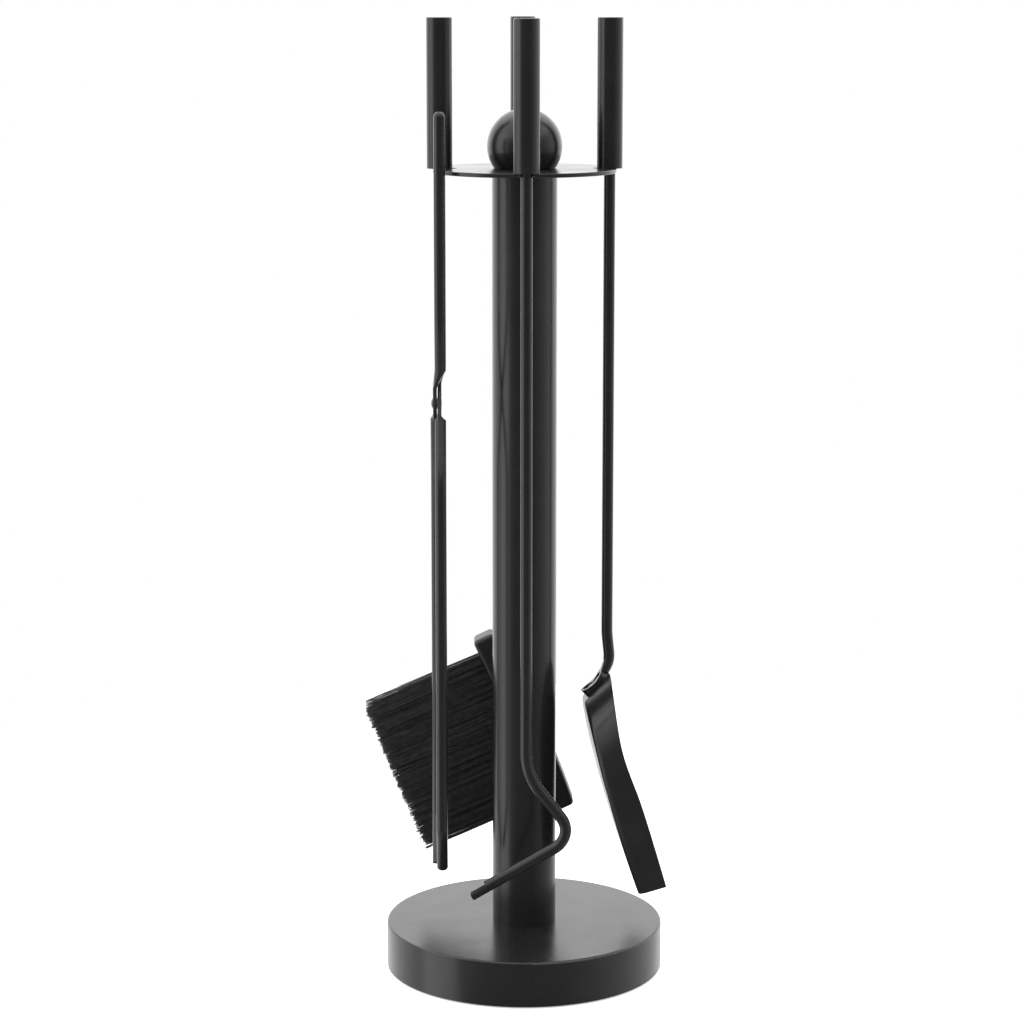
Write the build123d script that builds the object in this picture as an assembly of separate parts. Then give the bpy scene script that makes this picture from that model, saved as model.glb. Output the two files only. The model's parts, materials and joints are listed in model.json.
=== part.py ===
"""Fireplace tool set: a weighted stand that carries a poker, a shovel, a brush and tongs.

Frame: origin at the centre of the face that the stand rests on, +Z up, millimetres.
The poker hangs on the -Y side (front), the shovel on +X, the brush on +Y, the tongs on -X.
"""
from build123d import *

import os
from math import atan2, cos, degrees, radians, sin

# ---- stand ----
BASE_D = 175.0
BASE_H = 29.0
BASE_EDGE_R = 1.3
SHELL_WALL = 1.5
SHELL_LIFT = 0.6
PAD_T = 2.0
BALLAST_GAP = 0.2
RECESS_D = 36.0
RECESS_H = 12.0
THREAD_D = 10.0
THREAD_GAP = 0.1
HEX_ACROSS = 17.0
HEX_H = 6.4
WASHER_D = 30.0
WASHER_T = 2.5
COLUMN_D = 40.0
COLUMN_WALL = 1.5
PLUG_L = 20.0
DISC_D = 112.6
DISC_T = 2.5
DISC_TOP = 507.0
BALL_D = 46.0
BALL_RISE = 13.4

# ---- what the tools share ----
HANG_R = 52.0
SLOT_W = 9.4
SLOT_INNER_R = 41.5
HANDLE_D = 15.7
HANDLE_L = 91.0
HANDLE_WALL = 1.2
CAP_T = 1.4
CAP_SPIGOT = 6.0
BUSH_L = 14.0
FIT = 0.05
ROD_D = 7.0
ROD_TOP = DISC_TOP + BUSH_L

# ---- poker ----
POKER_ROD_D = 7.2
POKER_SWEEP_Z = 138.2
POKER_APEX = (30.9, 98.7)
POKER_TIP = (-34.0, 61.0)
POKER_SWEEP_R = 40.0
POKER_HOOK_R = 13.1
CHISEL_L = 11.0
CHISEL_STEP = 0.8

# ---- shovel: points are (x, z) in the plane of the rod ----
PAN_W = 86.0
PAN_T = 1.5
PAN_BACK_LOW = (37.0, 173.0)
PAN_BACK_TOP = (53.5, 190.0)
PAN_FLOOR_MID = (49.7, 118.0)
PAN_LIP_FLOOR = (68.9, 57.2)
PAN_LIP_RIM = (86.2, 62.1)
PAN_RIM_BENDS = ((54.9, 171.0), (58.9, 147.0), (67.8, 122.0), (76.3, 95.7))
PAN_CORNER_R = 42.0
PAN_CORNER_LEAD = 0.6
PAN_FOLD_R = 4.5
SHOVEL_TURN = 2.6
SHOVEL_DRIFT_Z = 216.0
SHOVEL_DRIFT_SLOPE = 0.105
SHOVEL_BEND_R = 16.0
FOOT_W = 11.0
FOOT_SPAN = (1.0, 20.5)
FOOT_TOP = ((-4.0, 8.5), (4.0, 4.6), (11.0, 3.2), (16.0, 3.9), (21.5, 5.6))
FOOT_SEAT = 2.6
RIVET_D = 4.0
RIVET_HEAD_D = 7.5
RIVET_HEAD_H = 1.8
RIVET_TAIL_H = 0.5
RIVET_PLACES = (7.5, 15.0)

# ---- brush ----
HEAD_CENTRE = (0.7, 146.0)
HEAD_TILT = 25.0
HEAD_L = 126.0
HEAD_END_T = 14.0
HEAD_BULGE = 3.5
HEAD_DEPTH = 20.0
HEAD_EDGE_R = 3.0
HEAD_SOCKET_Z = 150.0
BRISTLE_W = 104.0
BRISTLE_DEPTH = 17.0
BRISTLE_TIPS = ((-105.0, 157.0), (-65.0, 60.0))
SCREW_Z = 158.0
SCREW_D = 4.0
SCREW_HEAD_D = 7.5
SCREW_HEAD_H = 2.0
SCREW_L = 15.0

# ---- tongs: points are (y, z) in the plane that the arms swing in ----
PIVOT = (-14.0, 364.0)
ARM_X = -52.0
FAR_ARM_X = -54.8
PIVOT_GAP_X = -54.0
FLAT_T = 2.4
FLAT_W = 7.6
FLAT_EDGE_R = 0.6
FLAT_REACH = {1: 12.5, -1: 8.5}
ROUND_START = {1: 23.5, -1: 11.0}
WASHER_GAP = 0.4
CROSS_SLOPE = 0.42
ARM_SPREAD = 20.0
JAW_BEND_Z = 97.0
JAW_TIP_Z = 69.0
JAW_TIP_GAP = 4.2
FREE_ARM_Y = -36.0
FREE_ARM_TOP = 543.0
ARM_BEND_R = 60.0
JAW_BEND_R = 12.0
PIVOT_RIVET_D = 4.5
PIVOT_HEAD_D = 7.0
PIVOT_HEAD_H = 1.1
PIVOT_TAIL_H = 0.3


# ---------------------------------------------------------------- helpers
def rod(diameter, z_low, z_high, x=0.0, y=0.0):
    """Upright cylinder between two heights."""
    return Pos(x, y, z_low) * Cylinder(
        diameter / 2, z_high - z_low, align=(Align.CENTER, Align.CENTER, Align.MIN)
    )


def ring(outer, inner, z_low, z_high, x=0.0, y=0.0):
    """Upright tube between two heights."""
    return rod(outer, z_low, z_high, x, y) - rod(inner, z_low - 1, z_high + 1, x, y)


def swept_rod(points, radii, diameter):
    """Round bar along straight runs joined by tangent arcs."""
    path = FilletPolyline(*points, radius=list(radii))
    start = Plane(origin=path @ 0, z_dir=path % 0)
    return sweep(start * Circle(diameter / 2), path=path)


def rounded_head(diameter, height):
    """Low domed rivet head on the XY plane, pointing up."""
    sphere_r = (diameter**2 / 4 + height**2) / (2 * height)
    ball = Pos(0, 0, height - sphere_r) * Sphere(sphere_r)
    return ball & rod(diameter + 2, 0, height + 1)


def write(name, shape):
    """Export one sub-part."""
    export_step(shape, f"parts/{name}.step")


# ---------------------------------------------------------------- stand
def base_shell():
    outer = rod(BASE_D, SHELL_LIFT, BASE_H)
    outer = fillet(outer.edges().sort_by(Axis.Z)[-1], BASE_EDGE_R)
    hollow = rod(BASE_D - 2 * SHELL_WALL, 0, BASE_H - SHELL_WALL)
    return outer - hollow - rod(THREAD_D + 0.6, 0, BASE_H + 1)


def base_ballast():
    body = rod(BASE_D - 2 * SHELL_WALL - 2 * BALLAST_GAP, PAD_T, BASE_H - SHELL_WALL)
    recess = rod(RECESS_D, 0, PAD_T + RECESS_H)
    return body - recess - rod(THREAD_D + 4, 0, BASE_H)


def base_pad():
    return rod(BASE_D - 2 * SHELL_WALL - 1.6, 0, PAD_T)


def base_washer():
    top = PAD_T + RECESS_H
    return ring(WASHER_D, THREAD_D + 0.6, top - WASHER_T, top)


def base_bolt():
    seat = PAD_T + RECESS_H - WASHER_T
    head_outline = RegularPolygon(HEX_ACROSS / 2, 6, major_radius=False)
    head = extrude(Plane.XY.offset(seat - HEX_H) * head_outline, HEX_H)
    return head + rod(THREAD_D, seat - 1, BASE_H + PLUG_L - 2)


def column_tube():
    return ring(COLUMN_D, COLUMN_D - 2 * COLUMN_WALL, BASE_H, DISC_TOP - DISC_T)


def column_plug(z_low):
    return ring(COLUMN_D - 2 * COLUMN_WALL - 0.2, THREAD_D + THREAD_GAP, z_low, z_low + PLUG_L)


def slot_cutter():
    """Slot from its round inner end out past the rim, along +X."""
    end_x = SLOT_INNER_R + SLOT_W / 2
    length = DISC_D / 2 - end_x + 5
    bar = Box(length, SLOT_W, 3 * DISC_T, align=(Align.MIN, Align.CENTER, Align.CENTER))
    return Pos(end_x, 0, DISC_TOP) * bar + rod(SLOT_W, DISC_TOP - 2 * DISC_T, DISC_TOP + DISC_T, end_x)


def hanger_disc():
    disc = rod(DISC_D, DISC_TOP - DISC_T, DISC_TOP)
    rims = disc.edges().filter_by(GeomType.CIRCLE)
    disc = chamfer(rims, 0.3) - rod(THREAD_D + 0.4, 0, DISC_TOP + 1)
    for quarter in range(4):
        disc -= Rot(0, 0, 90 * quarter) * slot_cutter()
    return disc


def finial_stud():
    return rod(THREAD_D, DISC_TOP - DISC_T - PLUG_L + 4, DISC_TOP + BALL_D / 2)


def ball_finial():
    ball = Pos(0, 0, DISC_TOP + BALL_RISE) * Sphere(BALL_D / 2)
    ball &= rod(BALL_D + 2, DISC_TOP, DISC_TOP + BALL_D + BALL_RISE)
    return ball - rod(THREAD_D + THREAD_GAP, DISC_TOP - 1, DISC_TOP + BALL_D / 2 + 1)


# ---------------------------------------------------------------- handles
def handle_tube(x, y):
    return ring(HANDLE_D, HANDLE_D - 2 * HANDLE_WALL, DISC_TOP, DISC_TOP + HANDLE_L - CAP_T, x, y)


def handle_cap(x, y):
    top = DISC_TOP + HANDLE_L
    plate = rod(HANDLE_D, top - CAP_T, top, x, y)
    plate = chamfer(plate.edges().sort_by(Axis.Z)[-1], 0.4)
    spigot_d = HANDLE_D - 2 * HANDLE_WALL - 2 * FIT
    return plate + rod(spigot_d, top - CAP_T - CAP_SPIGOT, top - CAP_T, x, y)


def handle_bush(x, y, rod_d):
    bush_d = HANDLE_D - 2 * HANDLE_WALL - 2 * FIT
    return ring(bush_d, rod_d + 2 * FIT, DISC_TOP, DISC_TOP + BUSH_L, x, y)


# ---------------------------------------------------------------- poker
def poker_rod():
    outline = [(0, ROD_TOP), (0, POKER_SWEEP_Z), POKER_APEX, POKER_TIP]
    points = [(x, -HANG_R, z) for x, z in outline]
    bar = swept_rod(points, (POKER_SWEEP_R, POKER_HOOK_R), POKER_ROD_D)
    run_x = POKER_TIP[0] - POKER_APEX[0]
    run_z = POKER_TIP[1] - POKER_APEX[1]
    tip_angle = degrees(atan2(run_z, run_x))
    # the last stretch is cut down to its lower part, like a chisel
    cut = Box(CHISEL_L + 2, 2 * POKER_ROD_D, POKER_ROD_D, align=(Align.MAX, Align.CENTER, Align.MAX))
    tip_frame = Pos(POKER_TIP[0], -HANG_R, POKER_TIP[1]) * Rot(0, -tip_angle, 0)
    return bar - tip_frame * Pos(2, 0, -CHISEL_STEP) * cut


# ---------------------------------------------------------------- shovel
def pan_back_frame():
    """Frame on the outside of the pan's back wall: x runs down it, z points out of it."""
    top_x, top_z = PAN_BACK_TOP
    low_x, low_z = PAN_BACK_LOW
    down = Vector(low_x - top_x, 0, low_z - top_z).normalized()
    return Plane(origin=(top_x, 0, top_z), x_dir=down, z_dir=down.cross(Vector(0, -1, 0)))


def pan_profile(open_by):
    """Side outline of the pan. open_by moves the open rim and lip outwards."""
    floor = ThreePointArc(PAN_BACK_LOW, PAN_FLOOR_MID, PAN_LIP_FLOOR)
    if open_by == 0:
        lip = Line(PAN_LIP_FLOOR, PAN_LIP_RIM)
        rim = Spline(PAN_LIP_RIM, *reversed(PAN_RIM_BENDS), PAN_BACK_TOP)
        return make_face([floor, lip, rim, Line(PAN_BACK_TOP, PAN_BACK_LOW)])
    along = floor % 1
    lip_floor = Vector(*PAN_LIP_FLOOR) + along * open_by
    lip_rim = Vector(*PAN_LIP_RIM) + along * open_by + Vector(open_by, 0)
    up_back = (Vector(*PAN_BACK_TOP) - Vector(*PAN_BACK_LOW)).normalized()
    back_top = Vector(*PAN_BACK_TOP) + up_back * open_by
    rest = Polyline(PAN_LIP_FLOOR, lip_floor, lip_rim, back_top, PAN_BACK_LOW)
    return make_face([floor, rest])


def pan_block(outline, wall):
    """Solid block inside the pan's outer skin by a wall: rounded back, folds rounded along the floor."""
    frame = pan_back_frame()
    back = frame.from_local_coords(Vector(0, 0, PAN_CORNER_LEAD - wall))
    across = Plane(origin=back, x_dir=(0, 1, 0), z_dir=-frame.x_dir)
    corner_r = PAN_CORNER_R - wall
    plan = RectangleRounded(PAN_W - 2 * wall, 3 * PAN_W, corner_r, align=(Align.CENTER, Align.MAX))
    block = extrude(Plane.XZ * outline, PAN_W, both=True)
    block &= extrude(across * plan, 2 * PAN_W, both=True)
    floors = block.faces().filter_by(lambda f: f.normal_at().X < -0.9)
    folds = [e for f in floors for e in f.edges() if abs(e.tangent_at(0.5).Y) < 0.9 or e.center().Z > 100]
    return fillet(folds, PAN_FOLD_R - wall)


def hung_shovel(shape):
    """Shovel piece turned about its own rod, the way it hangs in its slot."""
    return Pos(HANG_R, 0, 0) * Rot(0, 0, SHOVEL_TURN) * Pos(-HANG_R, 0, 0) * shape


def shovel_pan():
    hollow_outline = offset(pan_profile(20), amount=-PAN_T, kind=Kind.INTERSECTION)
    pan = pan_block(pan_profile(0), 0) - pan_block(hollow_outline, PAN_T)
    for place in RIVET_PLACES:
        pan -= pan_back_frame() * Pos(place, 0, 0) * Cylinder(RIVET_D / 2 + FIT, 4 * PAN_T)
    return pan


def foot_side_above():
    """Side outline of everything above the hammered foot, in the frame of the pan's back."""
    (start_x, start_z), (end_x, end_z) = FOOT_TOP[0], FOOT_TOP[-1]
    roof = 3 * ROD_D
    sides = Polyline((end_x, end_z), (end_x, roof), (start_x, roof), (start_x, start_z))
    return make_face([Spline(*FOOT_TOP), sides])


def shovel_rod():
    frame = pan_back_frame()
    foot = frame.from_local_coords(Vector(FOOT_SPAN[1] - 1, 0, ROD_D / 2 + FIT))
    down = frame.x_dir
    # the rod leans out a little below the drift height, then lies down along the back wall
    drift = Vector(HANG_R, 0, SHOVEL_DRIFT_Z)
    lean = Vector(SHOVEL_DRIFT_SLOPE, 0, -1)
    gap = drift - foot
    along = (gap.X * lean.Z - gap.Z * lean.X) / (lean.Z * down.X - lean.X * down.Z)
    knee = foot + down * along
    points = [(HANG_R, 0, ROD_TOP), drift, knee, foot]
    bar = swept_rod(points, (4 * SHOVEL_BEND_R, SHOVEL_BEND_R), ROD_D)
    # the foot is hammered down to a thin hollow-backed blade whose end kicks up a little
    above = frame * extrude(Plane.XZ * foot_side_above(), FOOT_W, both=True)
    blade = SlotOverall(FOOT_SPAN[1] - FOOT_SPAN[0], FOOT_W)
    bar += extrude(frame * Pos(sum(FOOT_SPAN) / 2, 0) * blade, ROD_D)
    bar -= above
    for place in RIVET_PLACES:
        bar -= frame * Pos(place, 0, 0) * Cylinder(RIVET_D / 2 + FIT, 4 * FOOT_SEAT)
        bar -= frame * Pos(place, 0, 0) * rod(RIVET_HEAD_D + 2 * FIT, FOOT_SEAT, 2 * ROD_D)
    return bar


def shovel_rivets():
    frame = pan_back_frame()
    rivets = []
    for place in RIVET_PLACES:
        shank = rod(RIVET_D, -PAN_T, FOOT_SEAT)
        outer_head = Pos(0, 0, FOOT_SEAT) * rounded_head(RIVET_HEAD_D, RIVET_TAIL_H)
        inner_head = Pos(0, 0, -PAN_T) * Rot(180, 0, 0) * rounded_head(RIVET_HEAD_D, RIVET_HEAD_H)
        rivet = frame * Pos(place, 0, 0) * (shank + outer_head + inner_head)
        rivets.append(hung_shovel(rivet))
    return Compound(children=rivets)


# ---------------------------------------------------------------- brush
def head_frame():
    """Frame at the middle of the brush head: x points to the bristle side, y up the head."""
    x, z = HEAD_CENTRE
    tilt = radians(HEAD_TILT)
    up = Vector(-sin(tilt), 0, cos(tilt))
    away = Vector(0, 1, 0)
    return Plane(origin=(x, HANG_R, z), x_dir=up.cross(away), z_dir=away)


def brush_head():
    half_l = HEAD_L / 2
    half_t = HEAD_END_T / 2
    flat = Polyline((-half_t, half_l), (half_t, half_l), (half_t, -half_l), (-half_t, -half_l))
    bulge = ThreePointArc((-half_t, -half_l), (-half_t - HEAD_BULGE, 0), (-half_t, half_l))
    block = extrude(make_face([flat, bulge]), HEAD_DEPTH / 2, both=True)
    head = head_frame() * fillet(block.edges(), HEAD_EDGE_R)
    head -= rod(ROD_D + 2 * FIT, HEAD_SOCKET_Z, ROD_TOP, 0, HANG_R)
    return head - brush_screw_shape(FIT)


def brush_screw_shape(gap):
    """Cross screw through the head and the rod, with its head sunk in the back of the brush."""
    back_y = HANG_R + HEAD_DEPTH / 2
    turn = Pos(0, back_y, SCREW_Z) * Rot(90, 0, 0)
    shank = Cylinder(SCREW_D / 2 + gap, SCREW_L + gap, align=(Align.CENTER, Align.CENTER, Align.MIN))
    head = Cylinder(SCREW_HEAD_D / 2 + gap, SCREW_HEAD_H, align=(Align.CENTER, Align.CENTER, Align.MIN))
    return turn * (shank + head)


def brush_screw():
    slot = Pos(0, HANG_R + HEAD_DEPTH / 2, SCREW_Z) * Box(SCREW_HEAD_D + 1, 2, 1)
    return brush_screw_shape(0) - slot


def brush_rod():
    bar = rod(ROD_D, HEAD_SOCKET_Z + FIT, ROD_TOP, 0, HANG_R)
    return bar - brush_screw_shape(FIT)


def brush_bristles():
    """Closed outer shape of the whole tuft field, from the face of the head to the trimmed tips."""
    frame = head_frame()
    roots = [frame.from_local_coords(Vector(HEAD_END_T / 2, side * BRISTLE_W / 2, 0)) for side in (-1, 1)]
    corners = [(roots[0].X, roots[0].Z), (roots[1].X, roots[1].Z), *BRISTLE_TIPS]
    middle = Plane(origin=(0, HANG_R, 0), x_dir=(1, 0, 0), z_dir=(0, -1, 0))
    return extrude(middle * make_face(Polyline(*corners, close=True)), BRISTLE_DEPTH / 2, both=True)


# ---------------------------------------------------------------- tongs
def arm_round(points, radii, x):
    """Round run of a tong arm through (y, z) points at a constant x."""
    return swept_rod([(x, y, z) for y, z in points], radii, ROD_D)


def crossing(lean, side, distance):
    """Point on an arm at a distance from the pivot: side +1 is above it, -1 below."""
    direction = Vector(lean * CROSS_SLOPE, 1).normalized() * side * distance
    return PIVOT[0] + direction.X, PIVOT[1] + direction.Y


def blend_to_flat(lean, side, rod_x, flat_x):
    """Hammered transition from the round bar to the flat at the pivot."""
    round_y, round_z = crossing(lean, side, ROUND_START[side])
    flat_y, flat_z = crossing(lean, side, FLAT_REACH[side])
    toward = Vector(0, flat_y - round_y, flat_z - round_z)
    wide = Plane(origin=(rod_x, round_y, round_z), x_dir=(1, 0, 0), z_dir=toward)
    thin = Plane(origin=(flat_x, flat_y, flat_z), x_dir=(1, 0, 0), z_dir=toward)
    return loft([wide * Circle(ROD_D / 2), thin * RectangleRounded(FLAT_T, FLAT_W, FLAT_EDGE_R)])


def pivot_flat(lean, flat_x):
    """Flat part of an arm around the rivet, with the rivet hole."""
    low_y, low_z = crossing(lean, -1, FLAT_REACH[-1])
    toward = Vector(0, lean * CROSS_SLOPE, 1)
    start = Plane(origin=(flat_x, low_y, low_z), x_dir=(1, 0, 0), z_dir=toward)
    bar = extrude(start * RectangleRounded(FLAT_T, FLAT_W, FLAT_EDGE_R), sum(FLAT_REACH.values()))
    return bar - pivot_pin(PIVOT_RIVET_D + 2 * FIT, flat_x - FLAT_T, flat_x + FLAT_T)


def pivot_pin(diameter, x_low, x_high):
    """Cylinder on the pivot axis between two x values."""
    turn = Pos(x_low, PIVOT[0], PIVOT[1]) * Rot(0, 90, 0)
    return turn * Cylinder(diameter / 2, x_high - x_low, align=(Align.CENTER, Align.CENTER, Align.MIN))


def jaw_run(lean, rod_x):
    """Lower arm: out from the pivot, straight down, and in again at the jaw."""
    start = crossing(lean, -1, ROUND_START[-1])
    out_y = PIVOT[0] - lean * ARM_SPREAD
    knee = (out_y, PIVOT[1] - ARM_SPREAD / CROSS_SLOPE)
    tip = (PIVOT[0] - lean * JAW_TIP_GAP, JAW_TIP_Z)
    return arm_round([start, knee, (out_y, JAW_BEND_Z), tip], (ARM_BEND_R, JAW_BEND_R), rod_x)


def upper_run(lean, arm_y, top_z, rod_x):
    """Upper arm: from the pivot out to its line, then straight up."""
    start = crossing(lean, 1, ROUND_START[1])
    knee_z = PIVOT[1] + abs(arm_y - PIVOT[0]) / CROSS_SLOPE
    return arm_round([start, (arm_y, knee_z), (arm_y, top_z)], (ARM_BEND_R,), rod_x)


def tong_arm(lean, arm_y, top_z, lower_x, flat_x):
    arm = pivot_flat(lean, flat_x)
    arm += blend_to_flat(lean, 1, ARM_X, flat_x)
    arm += blend_to_flat(lean, -1, lower_x, flat_x)
    arm += upper_run(lean, arm_y, top_z, ARM_X)
    return arm + jaw_run(lean, lower_x)


def handle_flat_x():
    return PIVOT_GAP_X + WASHER_GAP / 2 + FLAT_T / 2


def free_flat_x():
    return PIVOT_GAP_X - WASHER_GAP / 2 - FLAT_T / 2


def tongs_handle_arm():
    return tong_arm(1, 0, ROD_TOP, ARM_X, handle_flat_x())


def tongs_free_arm():
    arm = tong_arm(-1, FREE_ARM_Y, FREE_ARM_TOP - ROD_D / 2, FAR_ARM_X, free_flat_x())
    return arm + Pos(ARM_X, FREE_ARM_Y, FREE_ARM_TOP - ROD_D / 2) * Sphere(ROD_D / 2)


def tongs_rivet():
    x_low = free_flat_x() - FLAT_T / 2
    x_high = handle_flat_x() + FLAT_T / 2
    pin = pivot_pin(PIVOT_RIVET_D, x_low - 0.1, x_high)
    head = rounded_head(PIVOT_HEAD_D, PIVOT_HEAD_H)
    tail = rounded_head(PIVOT_HEAD_D, PIVOT_TAIL_H)
    right = Pos(x_high, PIVOT[0], PIVOT[1]) * Rot(0, 90, 0) * tail
    left = Pos(x_low - 0.1, PIVOT[0], PIVOT[1]) * Rot(0, -90, 0) * head
    return pin + right + left


def tongs_washer():
    x_low = PIVOT_GAP_X - WASHER_GAP / 2 + 0.1
    x_high = PIVOT_GAP_X + WASHER_GAP / 2
    hole = pivot_pin(PIVOT_RIVET_D + 2 * FIT, x_low - 1, x_high + 1)
    return pivot_pin(PIVOT_HEAD_D, x_low, x_high) - hole


# ---------------------------------------------------------------- build
def stand_parts():
    return {
        "base_shell": base_shell(),
        "base_ballast": base_ballast(),
        "base_pad": base_pad(),
        "base_washer": base_washer(),
        "base_bolt": base_bolt(),
        "column_tube": column_tube(),
        "column_bottom_plug": column_plug(BASE_H),
        "column_top_plug": column_plug(DISC_TOP - DISC_T - PLUG_L),
        "hanger_disc": hanger_disc(),
        "finial_stud": finial_stud(),
        "ball_finial": ball_finial(),
    }


def tool_parts():
    places = {"poker": (0, -HANG_R), "shovel": (HANG_R, 0), "brush": (0, HANG_R), "tongs": (ARM_X, 0)}
    parts = {}
    for tool, (x, y) in places.items():
        rod_d = POKER_ROD_D if tool == "poker" else ROD_D
        parts[f"{tool}_handle_tube"] = handle_tube(x, y)
        parts[f"{tool}_handle_cap"] = handle_cap(x, y)
        parts[f"{tool}_handle_bush"] = handle_bush(x, y, rod_d)
    parts["poker_rod"] = poker_rod()
    parts["shovel_rod"] = hung_shovel(shovel_rod())
    parts["shovel_pan"] = hung_shovel(shovel_pan())
    parts["shovel_rivets"] = shovel_rivets()
    parts["brush_rod"] = brush_rod()
    parts["brush_head"] = brush_head()
    parts["brush_screw"] = brush_screw()
    parts["brush_bristles"] = brush_bristles()
    parts["tongs_handle_arm"] = tongs_handle_arm()
    parts["tongs_free_arm"] = tongs_free_arm()
    parts["tongs_rivet"] = tongs_rivet()
    parts["tongs_washer"] = tongs_washer()
    return parts


def main():
    os.makedirs("parts", exist_ok=True)
    for name, shape in {**stand_parts(), **tool_parts()}.items():
        write(name, shape)
        print(f"{name:22s} {shape.volume / 1000:9.3f} cm3")


main()
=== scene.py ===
"""Looks of the fireplace tool set: satin black powder coat, a real bristle field, and a pale studio."""
import json
import math
import random

import bmesh
import bpy
from mathutils import Euler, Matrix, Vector


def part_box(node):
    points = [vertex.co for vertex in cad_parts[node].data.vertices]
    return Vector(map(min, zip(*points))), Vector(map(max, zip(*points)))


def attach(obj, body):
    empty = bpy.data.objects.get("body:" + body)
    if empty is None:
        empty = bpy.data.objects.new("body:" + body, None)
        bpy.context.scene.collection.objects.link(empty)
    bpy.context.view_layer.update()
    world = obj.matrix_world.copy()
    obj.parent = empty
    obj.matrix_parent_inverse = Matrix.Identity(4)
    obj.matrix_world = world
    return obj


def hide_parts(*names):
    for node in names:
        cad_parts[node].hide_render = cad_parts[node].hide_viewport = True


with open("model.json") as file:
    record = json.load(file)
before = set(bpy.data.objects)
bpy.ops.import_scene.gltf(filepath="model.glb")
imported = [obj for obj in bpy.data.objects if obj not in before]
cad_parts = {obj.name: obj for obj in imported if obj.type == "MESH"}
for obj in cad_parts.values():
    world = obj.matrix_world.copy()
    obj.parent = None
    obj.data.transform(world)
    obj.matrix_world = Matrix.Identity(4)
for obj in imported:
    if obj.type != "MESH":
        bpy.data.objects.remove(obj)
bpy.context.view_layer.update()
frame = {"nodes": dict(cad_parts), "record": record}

MM = 0.001


# ---------------------------------------------------------------- shader helpers
class Nodes:
    """Short way to add and link shader nodes in one tree."""

    def __init__(self, tree):
        self.tree = tree

    def add(self, kind, **values):
        """New node, with each value set on its input of that name, or else on the node itself."""
        node = self.tree.nodes.new(kind)
        for key, value in values.items():
            if key in node.inputs:
                node.inputs[key].default_value = value
            else:
                setattr(node, key, value)
        return node

    def link(self, source, target):
        self.tree.links.new(source, target)

    def map_range(self, value, before, after):
        """Value carried over from one range to another in a straight line, and held at its ends."""
        node = self.add("ShaderNodeMapRange")
        for socket, number in zip(("From Min", "From Max", "To Min", "To Max"), (*before, *after)):
            node.inputs[socket].default_value = number
        self.link(value, node.inputs["Value"])
        return node.outputs["Result"]


class Surface:
    """Material round one Principled shader, with patterns in the object's own coordinates."""

    IOR = 1.5
    NOISE_RANGE = (0.3, 0.7)

    def __init__(self, name, color, roughness, metallic=0.0):
        self.material = bpy.data.materials.new(name)
        self.material.use_nodes = True
        self.nodes = Nodes(self.material.node_tree)
        self.shader = self.material.node_tree.nodes["Principled BSDF"]
        self.color = color
        self.set("Base Color", (*color, 1))
        self.set("Roughness", roughness)
        self.set("Metallic", metallic)
        self.set("IOR", self.IOR)

    def set(self, socket, value):
        self.shader.inputs[socket].default_value = value

    def pattern(self, kind, **values):
        """Texture node that follows the object."""
        texture = self.nodes.add(kind, **values)
        coords = self.nodes.add("ShaderNodeTexCoord")
        self.nodes.link(coords.outputs["Object"], texture.inputs["Vector"])
        return texture

    def mottle(self, spread, scale):
        """Base colour that wanders by a share of itself either side of its mean."""
        noise = self.pattern("ShaderNodeTexNoise", Scale=scale, Detail=4.0, Roughness=0.55)
        ramp = self.nodes.add("ShaderNodeValToRGB")
        ends = zip(ramp.color_ramp.elements, self.NOISE_RANGE, (1 - spread, 1 + spread))
        for element, position, factor in ends:
            element.position = position
            element.color = (*[channel * factor for channel in self.color], 1)
        self.nodes.link(noise.outputs["Fac"], ramp.inputs["Fac"])
        self.nodes.link(ramp.outputs["Color"], self.shader.inputs["Base Color"])

    def vary_roughness(self, low, high, scale):
        """Roughness that runs between two values over the surface."""
        noise = self.pattern("ShaderNodeTexNoise", Scale=scale, Detail=3.0, Roughness=0.6)
        uneven = self.nodes.map_range(noise.outputs["Fac"], self.NOISE_RANGE, (low, high))
        self.nodes.link(uneven, self.shader.inputs["Roughness"])

    def bump(self, height, depth, strength):
        """Bump from a height output; the depth is in metres."""
        node = self.nodes.add("ShaderNodeBump", Strength=strength, Distance=depth)
        self.nodes.link(height, node.inputs["Height"])
        self.nodes.link(node.outputs["Normal"], self.shader.inputs["Normal"])

    def grain(self, scale, detail, roughness, depth, strength):
        """Bump from a fine noise."""
        noise = self.pattern("ShaderNodeTexNoise", Scale=scale, Detail=detail, Roughness=roughness)
        self.bump(noise.outputs["Fac"], depth, strength)


# ---------------------------------------------------------------- materials
def powder_coat():
    """Satin black powder coat: fine orange peel and a barely uneven gloss."""
    coat = Surface("black_powder_coat", (0.0125, 0.0131, 0.0133), roughness=0.24)
    coat.mottle(spread=0.12, scale=60)
    coat.vary_roughness(low=0.2, high=0.28, scale=35)
    coat.grain(scale=620, detail=2, roughness=0.5, depth=0.12 * MM, strength=0.25)
    return coat.material


def brush_block():
    """Moulded black plastic of the brush head."""
    plastic = Surface("black_brush_block", (0.013, 0.014, 0.015), roughness=0.38)
    plastic.mottle(spread=0.15, scale=90)
    plastic.vary_roughness(low=0.32, high=0.46, scale=70)
    plastic.grain(scale=900, detail=3, roughness=0.6, depth=0.1 * MM, strength=0.4)
    return plastic.material


def bristle():
    """Black filaments with a soft sheen."""
    fibre = Surface("black_bristle", (0.058, 0.0588, 0.0596), roughness=0.48)
    fibre.set("Specular IOR Level", 0.35)
    fibre.mottle(spread=0.3, scale=240)
    fibre.vary_roughness(low=0.42, high=0.58, scale=150)
    return fibre.material


def rubber():
    """Dull rubber of the pad under the base."""
    pad = Surface("black_rubber", (0.022, 0.022, 0.023), roughness=0.8)
    pad.mottle(spread=0.25, scale=200)
    pad.grain(scale=1400, detail=4, roughness=0.7, depth=0.2 * MM, strength=0.6)
    return pad.material


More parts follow.
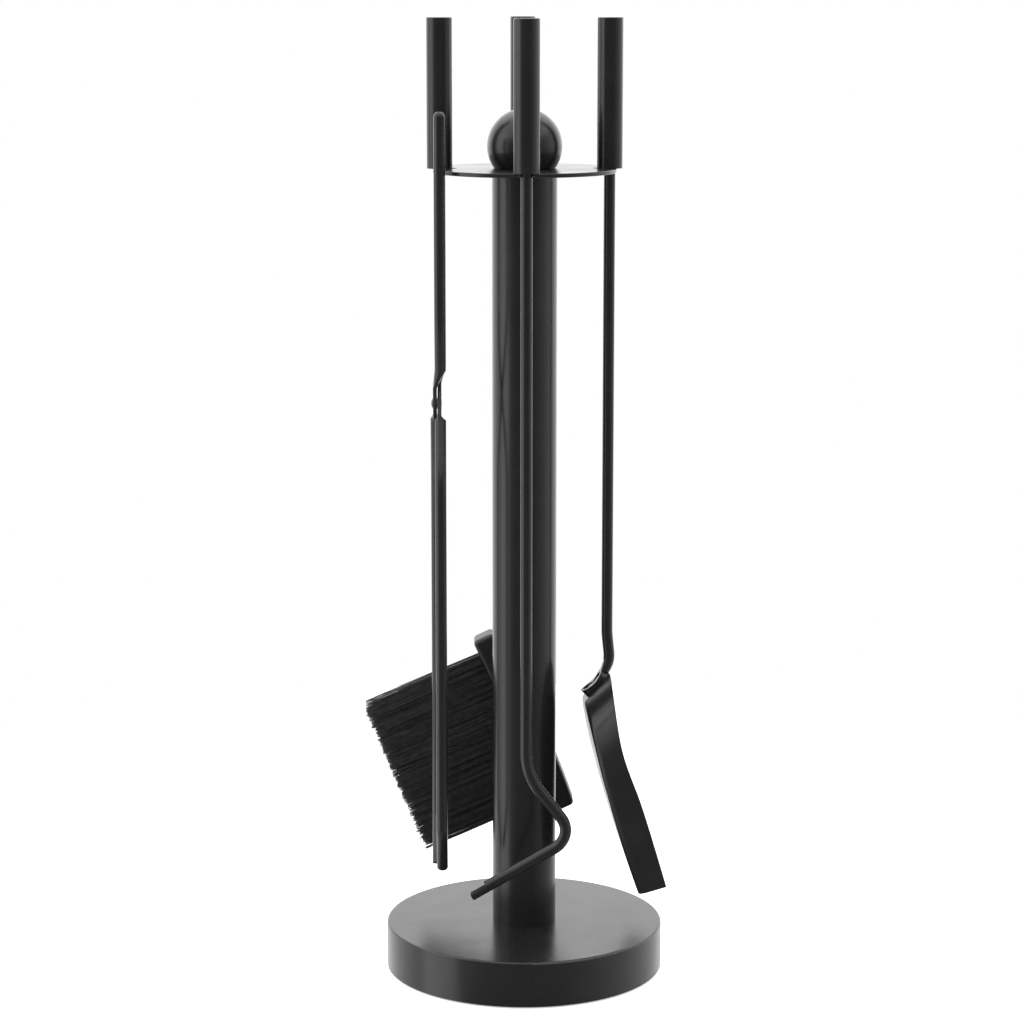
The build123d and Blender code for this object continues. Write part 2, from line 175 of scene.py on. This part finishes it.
def concrete():
    """Rough cast concrete of the weight in the base."""
    cast = Surface("concrete", (0.36, 0.35, 0.33), roughness=0.9)
    cast.mottle(spread=0.25, scale=120)
    cast.grain(scale=500, detail=6, roughness=0.7, depth=0.6 * MM, strength=0.8)
    return cast.material


def steel(name, color, low, high):
    """Turned or plated steel with fine marks round the part."""
    metal = Surface(name, color, roughness=low, metallic=1.0)
    metal.mottle(spread=0.1, scale=150)
    metal.vary_roughness(low, high, scale=300)
    marks = metal.pattern("ShaderNodeTexWave", bands_direction="Z", Scale=900, Distortion=2, Detail=2)
    metal.bump(marks.outputs["Fac"], depth=0.05 * MM, strength=0.2)
    return metal.material


MATERIALS = {
    "black_powder_coat": powder_coat(),
    "black_brush_block": brush_block(),
    "black_bristle": bristle(),
    "black_screw": steel("black_screw", (0.05, 0.05, 0.052), low=0.35, high=0.5),
    "black_rubber": rubber(),
    "concrete": concrete(),
    "zinc_steel": steel("zinc_steel", (0.6, 0.61, 0.62), low=0.25, high=0.4),
    "plain_steel": steel("plain_steel", (0.3, 0.3, 0.31), low=0.35, high=0.5),
}


def paint_cad_nodes():
    """Every carried-over CAD node gets the material of its slot."""
    for subpart in frame["record"]["subparts"]:
        node = frame["nodes"][subpart["node"]]
        node.data.materials.clear()
        node.data.materials.append(MATERIALS[subpart["material_slot"]])


# ---------------------------------------------------------------- bristles
# The head leans in the XZ plane; these repeat its place and the line of the bristle tips.
HEAD_CENTRE_X = 0.7 * MM
HEAD_CENTRE_Z = 146 * MM
HEAD_TILT = math.radians(25)
HEAD_HALF_T = 7 * MM
TIP_TOP_Z = 157 * MM
TIP_LOW_X = -65 * MM

# Rows run along the head, and tufts stand along each row.
ROWS = 4
TUFTS_PER_ROW = 24
ROOT_ROW_L = 102.6 * MM
TIP_ROW_SHARE = 0.965
ROOT_DEPTH = 11 * MM
TIP_DEPTH = 13.4 * MM
ROOT_SINK = 1.5 * MM
ROW_STAGGER = 0.25
PLACE_WANDER = 0.004
SHORT_OF_TIP_LINE = 0.012
SHORTER_AT_ENDS = 0.02
SEED = 7

# One tuft spreads from its hole to its trimmed end.
FILAMENTS_PER_TUFT = 50
TUFT_R_ROOT = 2.1 * MM
TUFT_R_TIP = 3.3 * MM
TUFT_WANDER = 0.7 * MM
TUFT_LEAN = 0.6 * MM
UNEVEN_TRIM = 0.085

# One filament is a thin bar that sags and narrows.
FILAMENT_R = 0.24 * MM
FILAMENT_R_FACTORS = (0.8, 1.15)
FILAMENT_SIDES = 3
FILAMENT_STEPS = 4
FILAMENT_SAG = 0.9 * MM
TIP_THINNING = 0.45


def filament(bm, points, radius):
    """Thin closed bar through the points, narrowing to its tip."""
    rings = []
    last = len(points) - 1
    for index, point in enumerate(points):
        ahead = points[min(index + 1, last)] - points[max(index - 1, 0)]
        side = ahead.cross(Vector((0, 1, 0))).normalized()
        up = side.cross(ahead).normalized()
        size = radius * (1 - TIP_THINNING * (index / last) ** 2)
        ring = []
        for corner in range(FILAMENT_SIDES):
            angle = 2 * math.pi * corner / FILAMENT_SIDES
            ring.append(bm.verts.new(point + (side * math.cos(angle) + up * math.sin(angle)) * size))
        rings.append(ring)
    for first, second in zip(rings, rings[1:]):
        for corner in range(FILAMENT_SIDES):
            after = (corner + 1) % FILAMENT_SIDES
            bm.faces.new((first[corner], first[after], second[after], second[corner]))
    bm.faces.new(reversed(rings[0]))
    bm.faces.new(rings[-1])


def tuft(bm, rng, root, tip):
    """One bunch of filaments from a hole in the head to its trimmed end."""
    lean = Vector((0, 0, rng.uniform(-1, 1))) * TUFT_LEAN
    wander = Vector((rng.uniform(-1, 1), rng.uniform(-1, 1), rng.uniform(-1, 1))) * TUFT_WANDER
    for _ in range(FILAMENTS_PER_TUFT):
        angle = rng.uniform(0, 2 * math.pi)
        offset = Vector((0, math.cos(angle), math.sin(angle))) * math.sqrt(rng.random())
        start = root + offset * TUFT_R_ROOT
        full_end = tip + offset * TUFT_R_TIP + wander
        end = start.lerp(full_end, 1 - rng.random() ** 2 * UNEVEN_TRIM)
        sag = Vector((0, rng.uniform(-1, 1), rng.uniform(-1, 1))) * FILAMENT_SAG + lean
        points = []
        for step in range(FILAMENT_STEPS + 1):
            t = step / FILAMENT_STEPS
            points.append(start.lerp(end, t) + sag * math.sin(math.pi * t) * t)
        filament(bm, points, FILAMENT_R * rng.uniform(*FILAMENT_R_FACTORS))


def plant_tufts(bm):
    """Tufts in staggered rows, between the face of the head and the line of the tips."""
    rng = random.Random(SEED)
    cad_bristles_low, cad_bristles_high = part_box("brush_bristles")
    depth = (cad_bristles_low.y + cad_bristles_high.y) / 2
    along = Vector((-math.sin(HEAD_TILT), 0, math.cos(HEAD_TILT)))
    out = Vector((-math.cos(HEAD_TILT), 0, -math.sin(HEAD_TILT)))
    root_middle = Vector((HEAD_CENTRE_X, 0, HEAD_CENTRE_Z)) + out * (HEAD_HALF_T - ROOT_SINK)
    tip_top = Vector((cad_bristles_low.x, 0, TIP_TOP_Z))
    tip_low = Vector((TIP_LOW_X, 0, cad_bristles_low.z))
    tip_middle = (tip_top + tip_low) / 2
    tip_row = (tip_top - tip_low) * TIP_ROW_SHARE
    for row in range(ROWS):
        across = (row + 0.5) / ROWS - 0.5
        stagger = ROW_STAGGER if row % 2 else -ROW_STAGGER
        for place in range(TUFTS_PER_ROW):
            share = (place + 0.5 + stagger) / TUFTS_PER_ROW - 0.5
            share += rng.uniform(-PLACE_WANDER, PLACE_WANDER)
            root = root_middle + along * (share * ROOT_ROW_L)
            reach = 1 - SHORT_OF_TIP_LINE - abs(share) * SHORTER_AT_ENDS
            tip = root.lerp(tip_middle + tip_row * share, reach)
            root.y = depth + across * ROOT_DEPTH
            tip.y = depth + across * TIP_DEPTH
            tuft(bm, rng, root, tip)


def bristle_field():
    """The bristles, which ride on the brush in place of their plain CAD solid."""
    bm = bmesh.new()
    plant_tufts(bm)
    mesh = bpy.data.meshes.new("brush_bristle_field")
    bm.to_mesh(mesh)
    bm.free()
    field = bpy.data.objects.new("brush_bristle_field", mesh)
    bpy.context.scene.collection.objects.link(field)
    mesh.materials.append(MATERIALS["black_bristle"])
    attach(field, "brush")
    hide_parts("brush_bristles")


# ---------------------------------------------------------------- studio
FLOOR_R = 0.75
FLOOR_SEGMENTS = 96
FLOOR_DROP = 0.2 * MM
FLOOR_COLOR = (0.93, 0.93, 0.93)
FLOOR_LIFT = 0.35

# Brightness of the surround by direction: from the front to the back, and under the horizon.
WORLD_FRONT = 0.2
WORLD_BACK = 1.75
WORLD_FRONT_TO_BACK_Y = (-0.85, 0.8)
WORLD_BELOW = 0.78
WORLD_HORIZON_Z = (-0.12, 0.0)
BACKDROP = 1.0

SOFTBOX_PLACE = Vector((-1.55, -0.42, 0.3))
SOFTBOX_AIM = Vector((0, 0, 0.3))
SOFTBOX_SIZE = (1.0, 2.4)
SOFTBOX_POWER = 8.5
SKY_STRENGTH = 1.9
SKY_SPREAD = math.radians(120)
SKY_TILT = math.radians(10)

# The camera stands a little left of the front, just above the handles, and looks down at the stand.
CAMERA_DISTANCE = 1.776
CAMERA_TURN = math.radians(1.3)
CAMERA_HEIGHT = 0.6167
CAMERA_PITCH = math.radians(10.32)
CAMERA_AIM_LEFT = math.radians(0.25)
CAMERA_LENS = 101.6
CAMERA_SENSOR_W = 36
CAMERA_CLIP = (0.05, 50)


def floor_paint():
    """Matt white, lifted a little where it is seen directly, and clear to glossy rays."""
    paint = Surface("studio_floor", FLOOR_COLOR, roughness=0.9)
    paint.set("Specular IOR Level", 0.1)
    paint.set("Emission Color", (1, 1, 1, 1))
    nodes = paint.nodes
    path = nodes.add("ShaderNodeLightPath")
    lift = nodes.add("ShaderNodeMath", operation="MULTIPLY")
    lift.inputs[1].default_value = FLOOR_LIFT
    nodes.link(path.outputs["Is Camera Ray"], lift.inputs[0])
    nodes.link(lift.outputs["Value"], paint.shader.inputs["Emission Strength"])
    pick = nodes.add("ShaderNodeMixShader")
    clear = nodes.add("ShaderNodeBsdfTransparent")
    nodes.link(path.outputs["Is Glossy Ray"], pick.inputs[0])
    nodes.link(paint.shader.outputs["BSDF"], pick.inputs[1])
    nodes.link(clear.outputs["BSDF"], pick.inputs[2])
    nodes.link(pick.outputs["Shader"], paint.material.node_tree.nodes["Material Output"].inputs["Surface"])
    return paint.material


def studio_floor():
    """Round white table under the stand, that keeps out of the reflections in the metal."""
    bm = bmesh.new()
    bmesh.ops.create_circle(bm, cap_ends=True, radius=FLOOR_R, segments=FLOOR_SEGMENTS)
    mesh = bpy.data.meshes.new("studio_floor")
    bm.to_mesh(mesh)
    bm.free()
    floor = bpy.data.objects.new("studio_floor", mesh)
    floor.location.z = -FLOOR_DROP
    bpy.context.scene.collection.objects.link(floor)
    mesh.materials.append(floor_paint())


def studio_world():
    """Surround that grows brighter from the front to the back; the backdrop itself is plain white."""
    world = bpy.data.worlds.new("studio")
    bpy.context.scene.world = world
    world.use_nodes = True
    nodes = Nodes(world.node_tree)
    background = world.node_tree.nodes["Background"]
    background.inputs["Color"].default_value = (1, 1, 1, 1)
    direction = nodes.add("ShaderNodeTexCoord").outputs["Generated"]
    split = nodes.add("ShaderNodeSeparateXYZ")
    nodes.link(direction, split.inputs["Vector"])
    level = nodes.map_range(split.outputs["Y"], WORLD_FRONT_TO_BACK_Y, (WORLD_FRONT, WORLD_BACK))
    below = nodes.map_range(split.outputs["Z"], WORLD_HORIZON_Z, (WORLD_BELOW, 1.0))
    dimmed = nodes.add("ShaderNodeMath", operation="MULTIPLY")
    nodes.link(level, dimmed.inputs[0])
    nodes.link(below, dimmed.inputs[1])
    seen = nodes.add("ShaderNodeLightPath").outputs["Is Camera Ray"]
    pick = nodes.add("ShaderNodeMix")
    pick.inputs["B"].default_value = BACKDROP
    nodes.link(seen, pick.inputs["Factor"])
    nodes.link(dimmed.outputs["Value"], pick.inputs["A"])
    nodes.link(pick.outputs["Result"], background.inputs["Strength"])


def add_light(name, kind):
    """New light of a kind, linked to the scene."""
    light = bpy.data.objects.new(name, bpy.data.lights.new(name, kind))
    bpy.context.scene.collection.objects.link(light)
    return light


def studio_lights():
    """A tall softbox on the left and a wide soft sky."""
    softbox = add_light("left_softbox", "AREA")
    softbox.data.shape = "RECTANGLE"
    softbox.data.size, softbox.data.size_y = SOFTBOX_SIZE
    softbox.data.energy = SOFTBOX_POWER
    softbox.location = SOFTBOX_PLACE
    softbox.rotation_euler = (SOFTBOX_AIM - SOFTBOX_PLACE).to_track_quat("-Z", "Y").to_euler()
    sky = add_light("soft_sky", "SUN")
    sky.data.energy = SKY_STRENGTH
    sky.data.angle = SKY_SPREAD
    sky.rotation_euler = (SKY_TILT, 0, 0)


def camera():
    """Long lens, pitched down, with its aim just left of the column's axis."""
    data = bpy.data.cameras.new("camera")
    data.lens = CAMERA_LENS
    data.sensor_width = CAMERA_SENSOR_W
    data.clip_start, data.clip_end = CAMERA_CLIP
    cam = bpy.data.objects.new("camera", data)
    x = -CAMERA_DISTANCE * math.sin(CAMERA_TURN)
    y = -CAMERA_DISTANCE * math.cos(CAMERA_TURN)
    cam.location = (x, y, CAMERA_HEIGHT)
    cam.rotation_euler = Euler((math.pi / 2 - CAMERA_PITCH, 0, CAMERA_AIM_LEFT - CAMERA_TURN), "XYZ")
    bpy.context.scene.collection.objects.link(cam)
    bpy.context.scene.camera = cam


paint_cad_nodes()
bristle_field()
studio_floor()
studio_world()
studio_lights()
camera()
bpy.context.scene.view_settings.view_transform = "Standard"
